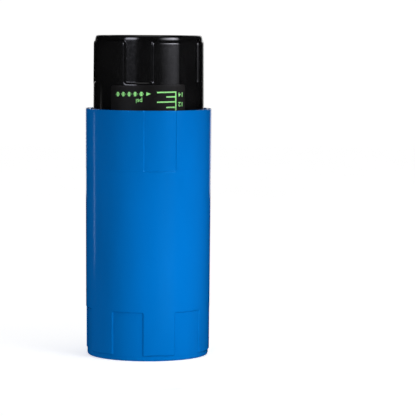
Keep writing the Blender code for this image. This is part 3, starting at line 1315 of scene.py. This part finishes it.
    def build(self) -> list[bpy.types.Object]:
        """Build the shell, its thread and its gate mark, and put them on the cup's body.

        Returns:
            The shell first, then the thread ridges and the gate mark.
        """
        edges = [edge for grip in self.grips for edge in grip.edges()]
        angles = columns(edges, self.top_radius, self.column_reach, self.column_fine, self.column_count)
        profile = self.profile()
        mesh = turned_mesh("inner_cup_shell", profile, angles, self.sunk(profile, angles))
        shell = self.put("inner_cup_shell", mesh)
        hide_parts("inner_cup")
        root = self.wall_radius - self.ridge_root
        runs = self.ridge_runs()
        ridges = self.put_ridges("cup_thread", self.crest_radius, root, self.ridge_half, runs)
        gate = GateMark(3.2 * MM, 1.2 * MM, 1.0 * MM, 0.4 * MM)
        mark = self.put("cup_gate_mark", gate.mesh("cup_gate_mark", self.top - self.end_recess, 1))
        return [shell, *ridges, mark]

    def ridge_runs(self) -> list[tuple[float, float, float]]:
        """Find the runs of thread between the flats on both sides of the label.

        Returns:
            The angle, height and span of each run.
        """
        runs = []
        whole = self.ridge_rise / self.thread.lead * FULL_TURN
        flat_ends = self.flat_middle + self.flat_span / 2
        flat_starts = self.flat_middle - self.flat_span / 2
        for first in evenly(self.ridge_first_angle, self.thread.starts):
            turn = math.floor((first - flat_ends) / FULL_TURN)
            while flat_ends + turn * FULL_TURN < first + whole:
                start = max(first, flat_ends + turn * FULL_TURN)
                end = min(first + whole, flat_starts + (turn + 1) * FULL_TURN)
                turn += 1
                if end - start > self.shortest_ridge:
                    climb = self.thread.lead * (start - first) / FULL_TURN
                    runs.append((start, self.mouth + self.ridge_first + climb, end - start))
        return runs


# ---------------------------------------------------------------- the label and its print


# Height of a figure as a share of the typeface's size
FIGURE_SHARE = 0.69


def bar(left: float, right: float, low: float, high: float) -> list[tuple[float, float]]:
    """Return the corners of a printed bar, across and up."""
    return [(left, low), (right, low), (right, high), (left, high)]


@dataclass(frozen=True)
class BallSign:
    """A small sign for a ball: a filled disc that two curved seams split in three."""

    size: float
    # Shares of the disc's radius: half the seam's width, the radius that it curves by and where that centres
    seam: float = 0.17
    swing: float = 0.95
    seam_centre: float = 1.62
    seam_reach: int = 48
    seam_steps: int = 12
    arc_steps: int = 8
    kept: float = 0.97
    side_overlap: float = 0.12
    core_gap: float = 0.14

    def outlines(self) -> list[list[tuple[float, float]]]:
        """Draw the sign's three filled parts round its middle.

        Returns:
            The outline of each side and of the core, each spot across and up.
        """
        radius = self.size / 2
        seam = self.seam * radius
        swing = self.swing * radius
        lens = []
        for step in range(self.seam_steps + 1):
            angle = math.radians(-self.seam_reach + 2 * self.seam_reach * step // self.seam_steps)
            lens.append((swing * self.seam_centre - swing * math.cos(angle), swing * math.sin(angle)))
        bounds = [(x, y) for x, y in lens if math.hypot(x, y) < radius * self.kept]
        low, high = (math.atan2(y, x) for x, y in (bounds[0], bounds[-1]))
        side = [(x + seam, y) for x, y in bounds]
        for step in range(self.arc_steps + 1):
            angle = high - self.side_overlap + (low - high + 2 * self.side_overlap) * step / self.arc_steps
            side.append((radius * math.cos(angle), radius * math.sin(angle)))
        core = [(x - seam, y) for x, y in bounds]
        for step in range(1, self.arc_steps):
            angle = high + self.core_gap + (math.pi - 2 * high - 2 * self.core_gap) * step / self.arc_steps
            core.append((radius * math.cos(angle), radius * math.sin(angle)))
        core += [(-x, -y) for x, y in core]
        return [side, [(-x, y) for x, y in side], core]


@dataclass
class ScaleLabel:
    """The film label and its printed pressure scale, read at the sleeve's rim."""

    low: float
    high: float
    reading_height: float
    finish: Finish
    ink: Finish
    inner_radius: float = 39.3 * MM
    thickness: float = 0.3 * MM
    ink_thickness: float = 0.04 * MM
    middle: float = math.radians(0.65)
    span: float = math.radians(80.7)
    corner: float = 1.6 * MM
    shoulder: float = 0.9 * MM
    shoulder_drop: float = 0.2 * MM
    skew: float = math.radians(1.1)
    top_mark: float = 12.3 * MM
    full_scale: int = 14
    lowest_mark: int = 2
    air_pressure: float = 14.7
    air_column: float = 90.0 * MM
    rule_angle: float = math.radians(29.8)
    long_tick: float = 14.2 * MM
    short_tick: float = 7.6 * MM
    line_width: float = 0.9 * MM
    digit_height: float = 3.0 * MM
    digit_angle: float = math.radians(35.2)
    digit_drop: float = 1.9 * MM
    stroke: float = 0.05 * MM
    pointer_angle: float = math.radians(-0.9)
    pointer_drop: float = 0.9 * MM
    pointer_length: float = 3.2 * MM
    pointer_half: float = 1.35 * MM
    sign_count: int = 5
    sign_size: float = 3.1 * MM
    sign_gap: float = 3.4 * MM
    sign_pitch: float = 4.35 * MM
    unit_shift: float = 5.0 * MM
    unit_drop: float = 4.3 * MM
    longest_edge: float = 1.6 * MM

    @property
    def face_radius(self) -> float:
        """Radius of the film's outer face."""
        return self.inner_radius + self.thickness

    def mark_height(self, pressure: float) -> float:
        """Return the height of a pressure's mark, from the volume of air that is left at that pressure.

        Args:
            pressure: Gauge pressure in pounds per square inch.

        Returns:
            Height of the mark in the row frame at rest.
        """
        full = self.air_pressure + self.full_scale
        drop = self.air_column * (full / (self.air_pressure + pressure) - 1)
        return self.reading_height + self.top_mark - drop

    def film_columns(self, low: float, high: float, across: float) -> tuple[float, float]:
        """Return the film's lower and upper edge at a distance from its side, with rounded corners.

        Args:
            low: Height of the lower edge.
            high: Height of the upper edge.
            across: Distance from the nearer upright edge.

        Returns:
            The two heights.
        """
        if across >= self.corner:
            return low, high
        inset = self.corner - math.sqrt(max(0.0, self.corner**2 - (self.corner - across) ** 2))
        return low + inset, high - inset

    def bent(self, mesh: bpy.types.Mesh, radius: float) -> bpy.types.Mesh:
        """Bend a flat mesh round the cup, skewed as the label was stuck on.

        Args:
            mesh: Mesh with X round the cup, Z up and Y outwards from the film's face.
            radius: Radius that Y is measured from.

        Returns:
            The same mesh.
        """
        centre = self.middle * self.face_radius
        pivot = (self.low + self.high) / 2
        for vertex in mesh.vertices:
            across = vertex.co.x - centre
            up = vertex.co.z - pivot
            turned_up = up + across * math.sin(self.skew)
            angle = vertex.co.x / self.face_radius
            reach = radius + vertex.co.y
            vertex.co = (reach * math.sin(angle), -reach * math.cos(angle), pivot + turned_up)
        return mesh

    def flat_sheet(
        self, name: str, outline: Sequence[tuple[float, float, float]], depth: float
    ) -> bpy.types.Mesh:
        """Make a flat sheet from upright strips, with a rounded edge on its outer face.

        Args:
            name: The mesh's name.
            outline: Distance round the cup, lower end and upper end of each strip.
            depth: Thickness of the sheet.

        Returns:
            A closed mesh, its back at Y = 0.
        """
        ends = [self.shoulder * step / 5 for step in range(6)]
        tall = outline[len(outline) // 2][2] - outline[len(outline) // 2][1]
        levels = [end / tall for end in ends] + list(np.linspace(0.0, 1.0, 25)[1:-1])
        levels += [1 - end / tall for end in reversed(ends)]
        rows = len(levels)
        spots: list[tuple[float, float, float]] = []
        for face in (0.0, depth):
            for across, low, high in outline:
                for level in levels:
                    inside = min(level, 1 - level) * tall
                    worn = self.shoulder_drop * max(0.0, 1 - inside / self.shoulder) ** 2 if face else 0.0
                    spots.append((across, face - worn, low + (high - low) * level))
        count = len(outline)
        faces: list[tuple[int, ...]] = []
        for layer in (0, count * rows):
            for strip in range(count - 1):
                for row in range(rows - 1):
                    here = layer + strip * rows + row
                    faces.append((here, here + rows, here + rows + 1, here + 1))
        border = [(strip * rows, (strip + 1) * rows) for strip in range(count - 1)]
        border += [(strip * rows + rows - 1, (strip + 1) * rows + rows - 1) for strip in range(count - 1)]
        border += [(row, row + 1) for row in range(rows - 1)]
        last = (count - 1) * rows
        border += [(last + row, last + row + 1) for row in range(rows - 1)]
        for first, second in border:
            faces.append((first, second, second + count * rows, first + count * rows))
        return closed_mesh(name, spots, faces)

    def build_film(self) -> bpy.types.Object:
        """Build the film, and put it on the cup's body.

        Returns:
            The film.
        """
        left = (self.middle - self.span / 2) * self.face_radius
        right = (self.middle + self.span / 2) * self.face_radius
        near = [self.corner * (1 - math.cos(math.pi / 2 * step / 8)) for step in range(9)]
        across = [left + step for step in near]
        across += list(np.linspace(left + self.corner, right - self.corner, 90)[1:-1])
        across += [right - step for step in reversed(near)]
        outline = []
        for place in across:
            low, high = self.film_columns(self.low, self.high, min(place - left, right - place))
            outline.append((float(place), low, high))
        mesh = self.bent(self.flat_sheet("label_film", outline, self.thickness), self.inner_radius)
        film = finished_object("label_film", mesh, self.finish, Body.CUP)
        sharp_edges(mesh, CRISP_ANGLE)
        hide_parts("scale_label")
        return film

    def printed(self, name: str, graph: bmesh.types.BMesh) -> bpy.types.Object:
        """Give flat artwork the thickness of ink, bend it round the label and put it on the cup.

        Args:
            name: The piece's name.
            graph: Artwork with X round the cup and Z up; it is freed.

        Returns:
            The printed piece.
        """
        bmesh.ops.triangulate(graph, faces=graph.faces[:])
        while long_edges := [edge for edge in graph.edges if edge.calc_length() > self.longest_edge]:
            bmesh.ops.subdivide_edges(graph, edges=long_edges, cuts=1)
            bmesh.ops.triangulate(graph, faces=graph.faces[:])
        grown = bmesh.ops.extrude_face_region(graph, geom=graph.faces[:])
        for part in grown["geom"]:
            if isinstance(part, bmesh.types.BMVert):
                part.co.y += self.ink_thickness
        mesh = mesh_from(name, graph)
        outward(self.bent(mesh, self.face_radius))
        piece = finished_object(name, mesh, self.ink, Body.CUP)
        sharp_edges(mesh, CRISP_ANGLE)
        return piece

    def add_writing(
        self, graph: bmesh.types.BMesh, text: str, across: float, up: float, height: float, weight: float
    ) -> None:
        """Add upside-down figures to the artwork, for the can is read standing on its other end.

        Args:
            graph: The artwork.
            text: The figures.
            across: Distance of their middle round the cup.
            up: Height of their middle.
            height: Height of a figure.
            weight: How much each stroke is thickened.
        """
        curve = bpy.data.curves.new("figures", "FONT")
        curve.body = text
        curve.size = height / FIGURE_SHARE
        curve.offset = weight
        curve.resolution_u = 6
        typed = linked("figures", curve)
        bpy.context.view_layer.update()
        drawn = typed.evaluated_get(bpy.context.evaluated_depsgraph_get()).to_mesh()
        spots = np.array([tuple(vertex.co) for vertex in drawn.vertices])
        centre = (spots.min(axis=0) + spots.max(axis=0)) / 2
        turned = [(across - (x - centre[0]), 0.0, up - (y - centre[1])) for x, y, _ in spots]
        made = [graph.verts.new(spot) for spot in turned]
        for polygon in drawn.polygons:
            graph.faces.new([made[index] for index in polygon.vertices])
        bpy.data.objects.remove(typed)
        bpy.data.curves.remove(curve)

    def build_scale(self) -> bpy.types.Object:
        """Print the rule and its ticks: a long one at each even pressure and a short one between.

        Returns:
            The rule and its ticks as one piece.
        """
        graph = bmesh.new()
        rule = self.rule_angle * self.face_radius
        half = self.line_width / 2
        lowest = self.mark_height(self.lowest_mark) - half
        highest = self.mark_height(self.full_scale) + half
        add_outline(graph, bar(rule - half, rule + half, lowest, highest))
        for pressure in range(self.lowest_mark, self.full_scale + 1):
            length = self.long_tick if pressure % 2 == 0 else self.short_tick
            middle = self.mark_height(pressure)
            add_outline(graph, bar(rule + half - length, rule - half, middle - half, middle + half))
        return self.printed("scale_rule", graph)

    def build_figures(self) -> bpy.types.Object:
        """Print the pressure beside each long tick.

        Returns:
            The figures as one piece.
        """
        graph = bmesh.new()
        across = self.digit_angle * self.face_radius
        for pressure in range(self.lowest_mark, self.full_scale + 1, 2):
            middle = self.mark_height(pressure) - self.digit_drop
            self.add_writing(graph, str(pressure), across, middle, self.digit_height, self.stroke)
        return self.printed("scale_figures", graph)

    def build_pointer(self) -> list[bpy.types.Object]:
        """Print the pointer, the ball signs that it points from and the unit under them.

        Returns:
            The pointer, the signs and the unit.
        """
        level = self.mark_height(self.full_scale) - self.pointer_drop
        base = self.pointer_angle * self.face_radius
        wide = self.pointer_half
        pointer = bmesh.new()
        tip = (base + self.pointer_length, level)
        add_outline(pointer, [(base, level - wide), tip, (base, level + wide)])
        signs = bmesh.new()
        sign = BallSign(self.sign_size)
        for index in range(self.sign_count):
            middle = base - self.sign_gap - index * self.sign_pitch
            for outline in sign.outlines():
                add_outline(signs, [(middle + x, level + y) for x, y in outline])
        unit = bmesh.new()
        place = (base - self.unit_shift, level - self.unit_drop)
        self.add_writing(unit, "psi", *place, self.digit_height, self.stroke)
        artwork = {"scale_pointer": pointer, "ball_signs": signs, "scale_unit": unit}
        return [self.printed(name, graph) for name, graph in artwork.items()]

    def build(self) -> list[bpy.types.Object]:
        """Build the film and all its print.

        Returns:
            The film first, then the print.
        """
        return [self.build_film(), self.build_scale(), self.build_figures(), *self.build_pointer()]


def sharp_edges(mesh: bpy.types.Mesh, angle: float) -> None:
    """Keep a mesh's hard edges crisp while the rest is smooth.

    Args:
        mesh: The mesh.
        angle: Edges that turn by more than this are sharp.
    """
    graph = bmesh.new()
    graph.from_mesh(mesh)
    for edge in graph.edges:
        edge.smooth = len(edge.link_faces) == 2 and edge.calc_face_angle() < angle
    graph.to_mesh(mesh)
    graph.free()


# ---------------------------------------------------------------- the O-ring


@dataclass
class SealRing:
    """The rubber O-ring in the piston's groove, with the fine flash line of its two-part mould."""

    middle: float
    outer_radius: float
    section: float
    finish: Finish
    flash: float = 0.05 * MM
    flash_spread: float = 0.1
    steps: int = 72
    column_count: int = 288

    def build(self) -> bpy.types.Object:
        """Build the ring and put it on the seal's body.

        Returns:
            The ring.
        """
        half = self.section / 2
        mean = self.outer_radius - half
        points = []
        for step in range(self.steps):
            angle = FULL_TURN * step / self.steps
            from_flash = min(abs(angle), abs(angle - math.pi), abs(angle - FULL_TURN))
            reach = half - self.flash + self.flash * math.exp(-((from_flash / self.flash_spread) ** 2))
            points.append((mean + reach * math.cos(angle), self.middle + reach * math.sin(angle)))
        angles = np.arange(self.column_count) * FULL_TURN / self.column_count
        plain = np.zeros((self.steps, self.column_count))
        mesh = turned_mesh("seal_ring_rubber", np.array(points), angles, plain)
        ring = finished_object("seal_ring_rubber", mesh, self.finish, Body.SEAL)
        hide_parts("seal_ring")
        return ring


# ---------------------------------------------------------------- the studio


@dataclass(frozen=True)
class GlowCloth(Finish):
    """Diffusion cloth lit from behind: it glows softly, more towards its head, and fades at its sides."""

    name: str = "diffusion_cloth"
    colour: str = "FFFFFF"
    roughness: float = 1.0
    ior: float = 1.45
    foot_glow: float = 0.4
    head_glow: float = 8.0
    rise: tuple[float, float] = (0.2, 0.5)
    soft_left: float = 0.3
    soft_right: float = 0.3

    def lay(self, tree: bpy.types.NodeTree, shader: bpy.types.Node) -> None:
        """Let the cloth glow, stronger above and fading at the sides.

        Args:
            tree: The material's node tree.
            shader: Its Principled shader.
        """
        shader.inputs["Base Color"].default_value = linear("000000")
        shader.inputs["Specular IOR Level"].default_value = 0.0
        shader.inputs["Emission Color"].default_value = linear(self.colour)
        space = add_node(tree, "ShaderNodeTexCoord", {}, {})
        place = add_node(tree, "ShaderNodeSeparateXYZ", {}, {0: space.outputs["Generated"]})
        low, high = self.rise
        up = {0: place.outputs["Z"], 1: low, 2: high, 3: self.foot_glow, 4: self.head_glow}
        in_left = {0: place.outputs["X"], 1: 0.0, 2: self.soft_left}
        in_right = {0: place.outputs["X"], 1: 1.0 - self.soft_right, 2: 1.0, 3: 1.0, 4: 0.0}
        glow = add_node(tree, "ShaderNodeMapRange", SMOOTH, up)
        left = add_node(tree, "ShaderNodeMapRange", SMOOTH, in_left)
        right = add_node(tree, "ShaderNodeMapRange", SMOOTH, in_right)
        sides = add_node(tree, "ShaderNodeMath", {"operation": "MULTIPLY"}, {0: left, 1: right})
        whole = add_node(tree, "ShaderNodeMath", {"operation": "MULTIPLY"}, {0: sides, 1: glow})
        tree.links.new(whole.outputs[0], shader.inputs["Emission Strength"])


class Sees(Enum):
    """What a screen's glow reaches: the gloss that mirrors it, or the body colour that it shades."""

    GLOSS = "gloss"
    BODY_COLOUR = "body colour"


@dataclass(frozen=True)
class ClothScreen:
    """An upright screen of glowing cloth: where it stands round the can in degrees, and what it is for."""

    cloth: GlowCloth
    degrees: tuple[float, float]
    distance: float
    low: float
    high: float
    sees: Sees = Sees.GLOSS

    def spot(self) -> tuple[Vector, Euler]:
        """Find where the screen stands.

        Returns:
            Its place and how it is turned.
        """
        middle = sum(math.radians(side) for side in self.degrees) / 2
        facing = Vector((math.sin(middle), -math.cos(middle), 0.0))
        return facing * self.distance, Euler((0.0, 0.0, middle))

    def sheet(self) -> list[tuple[float, float]]:
        """Return the corners of the flat cloth, across and up."""
        half = self.distance * math.tan(math.radians(self.degrees[1] - self.degrees[0]) / 2)
        return bar(-half, half, self.low, self.high)


@dataclass(frozen=True)
class OverheadCloth:
    """A square of glowing cloth hung level over the can."""

    cloth: GlowCloth
    half_width: float
    height: float
    sees: Sees = Sees.GLOSS

    def spot(self) -> tuple[Vector, Euler]:
        """Return where the cloth hangs and how it is turned."""
        return Vector((0.0, 0.0, self.height)), Euler((math.pi / 2, 0.0, 0.0))

    def sheet(self) -> list[tuple[float, float]]:
        """Return the corners of the flat cloth, across and along."""
        return bar(-self.half_width, self.half_width, -self.half_width, self.half_width)


@dataclass
class Studio:
    """A white paper sweep, the cloth screens and the camera."""

    paper: Finish
    screens: Sequence[ClothScreen | OverheadCloth]
    world_colour: str = "FFFFFF"
    world_strength: float = 0.57
    sweep_radius: float = 3.6
    sweep_bend: float = 0.9
    sweep_height: float = 4.0
    sweep_rings: tuple[float, ...] = (0.1, 0.3, 0.7, 1.3)
    bend_steps: int = 16
    column_count: int = 96
    cloth_cuts: int = 8
    camera_place: tuple[float, float, float] = (0.0428, -1.665, 0.2384)
    camera_tilt: float = math.radians(4.615)
    camera_pan: float = math.radians(0.0122)
    camera_roll: float = 0.006
    camera_lens: float = 203.7
    camera_sensor: float = 36.0
    camera_clips: tuple[float, float] = (0.05, 50.0)

    def build_sweep(self) -> bpy.types.Object:
        """Build the floor and the wall round it as one curved sheet of paper.

        Returns:
            The sheet's object.
        """
        line = [(reach, 0.0) for reach in (*self.sweep_rings, self.sweep_radius - self.sweep_bend)]
        for step in range(1, self.bend_steps + 1):
            angle = math.pi / 2 * step / self.bend_steps
            reach = self.sweep_radius - self.sweep_bend * (1 - math.sin(angle))
            line.append((reach, self.sweep_bend * (1 - math.cos(angle))))
        line.append((self.sweep_radius, self.sweep_height))
        turns = [FULL_TURN * column / self.column_count for column in range(self.column_count)]
        graph = bmesh.new()
        rows = []
        for reach, up in line:
            spots = [(reach * math.sin(turn), reach * math.cos(turn), up) for turn in turns]
            rows.append([graph.verts.new(spot) for spot in spots])
        graph.faces.new(rows[0][::-1])
        for first, second in zip(rows[:-1], rows[1:]):
            for column in range(self.column_count):
                beside = (column + 1) % self.column_count
                graph.faces.new((first[column], first[beside], second[beside], second[column]))
        mesh = mesh_from("paper_sweep", graph)
        mesh.materials.append(self.paper.material())
        mesh.shade_smooth()
        sweep = linked("paper_sweep", mesh)
        sweep.visible_glossy = False
        sweep.visible_diffuse = False
        sweep.visible_shadow = False
        return sweep

    def stand_screen(self, screen: ClothScreen | OverheadCloth) -> bpy.types.Object:
        """Put up a cloth screen facing the can.

        Args:
            screen: The screen.

        Returns:
            The screen's object.
        """
        graph = bmesh.new()
        add_outline(graph, screen.sheet())
        bmesh.ops.subdivide_edges(graph, edges=graph.edges[:], cuts=self.cloth_cuts, use_grid_fill=True)
        mesh = mesh_from(screen.cloth.name, graph)
        mesh.materials.append(screen.cloth.material())
        stand = linked(screen.cloth.name, mesh)
        stand.location, stand.rotation_euler = screen.spot()
        stand.visible_camera = False
        stand.visible_shadow = False
        stand.visible_glossy = screen.sees is Sees.GLOSS
        stand.visible_diffuse = screen.sees is Sees.BODY_COLOUR
        mesh.materials[0].cycles.emission_sampling = "AUTO" if screen.sees is Sees.GLOSS else "NONE"
        return stand

    def light_world(self) -> None:
        """Fill the room with even light that gloss doesn't show."""
        world = bpy.data.worlds.new("studio_air")
        bpy.context.scene.world = world
        world.use_nodes = True
        background = world.node_tree.nodes["Background"]
        background.inputs["Color"].default_value = linear(self.world_colour)
        background.inputs["Strength"].default_value = self.world_strength
        world.cycles_visibility.glossy = False

    def set_camera(self) -> bpy.types.Object:
        """Stand the camera where it sees the can from just above its rim.

        Returns:
            The camera.
        """
        camera = bpy.data.cameras.new("view")
        camera.sensor_width = self.camera_sensor
        camera.lens = self.camera_lens
        camera.clip_start, camera.clip_end = self.camera_clips
        camera.dof.use_dof = False
        stand = linked("view", camera)
        aim = Euler((math.pi / 2 - self.camera_tilt, 0.0, self.camera_pan)).to_matrix()
        aim = aim @ Matrix.Rotation(self.camera_roll, 3, "Z")
        stand.matrix_world = Matrix.Translation(self.camera_place) @ aim.to_4x4()
        bpy.context.scene.camera = stand
        return stand

    def build(self) -> None:
        """Build the sweep, the screens, the fill light and the camera."""
        self.build_sweep()
        self.light_world()
        for screen in self.screens:
            self.stand_screen(screen)
        self.set_camera()
        bpy.context.scene.view_settings.view_transform = "Standard"
        bpy.context.scene.view_settings.look = "None"


def studio_screens() -> list[ClothScreen | OverheadCloth]:
    """Choose the screens that the gloss mirrors, and the one close by that shades the body colour.

    Returns:
        The screens: two in front, a thin one at the left, two behind, one overhead and the near one.
    """
    rise = (0.15, 0.45)
    right = GlowCloth("right_cloth", "F4F4FF", foot_glow=0.7, head_glow=11.0, rise=rise, soft_left=0.75)
    left = GlowCloth("left_cloth", "EEF0FF", foot_glow=0.16, head_glow=8.0, rise=rise, soft_left=0.25)
    thin = GlowCloth("thin_cloth", "FFFFFF", foot_glow=3.0, head_glow=0.2, rise=(0.75, 1.0))
    rear = GlowCloth("rear_cloth", "FFFFFF", foot_glow=1.2, head_glow=2.4, rise=(0.2, 0.6))
    over = GlowCloth("overhead_cloth", "FFFFFF", foot_glow=0.9, head_glow=0.9)
    soft = {"soft_left": 0.5, "soft_right": 0.5}
    near = GlowCloth("near_cloth", "FFFFFF", foot_glow=6.0, head_glow=2.1, rise=(0.0, 0.55), **soft)
    return [
        ClothScreen(right, (22.0, 71.0), 1.5, 0.09, 0.95),
        ClothScreen(left, (-53.0, -21.0), 1.5, 0.13, 0.95),
        ClothScreen(thin, (-114.4, -112.4), 0.65, 0.0, 0.17),
        ClothScreen(rear, (156.0, 172.0), 1.5, 0.0, 1.2),
        ClothScreen(rear, (-172.0, -158.0), 1.5, 0.0, 1.2),
        OverheadCloth(over, 0.9, 2.2),
        ClothScreen(near, (7.0, 57.0), 0.15, 0.005, 0.36, Sees.BODY_COLOUR),
    ]


def main() -> None:
    """Build the can and its studio, and report each piece."""
    logging.basicConfig(level=logging.INFO, format="%(name)s: %(message)s")
    blue = MouldedBluePlastic()
    black = MouldedBlackPlastic()
    thread = ScrewThread()
    _, sleeve_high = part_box("outer_sleeve")
    cup_low, cup_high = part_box("inner_cup")
    label_low, label_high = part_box("scale_label")
    ring_low, ring_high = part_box("seal_ring")

    OuterSleeve(thread, blue, sleeve_high.z, sleeve_high.x).build()
    InnerCup(thread, black, cup_low.z, cup_high.z).build()
    ScaleLabel(label_low.z, label_high.z, sleeve_high.z, PrintedFilm(), GreenInk()).build()
    middle = (ring_low.z + ring_high.z) / 2
    SealRing(middle, ring_high.x, ring_high.z - ring_low.z, GreasedNitrile()).build()
    Studio(SweepPaper(), studio_screens()).build()


if __name__ == "__main__":
    main()
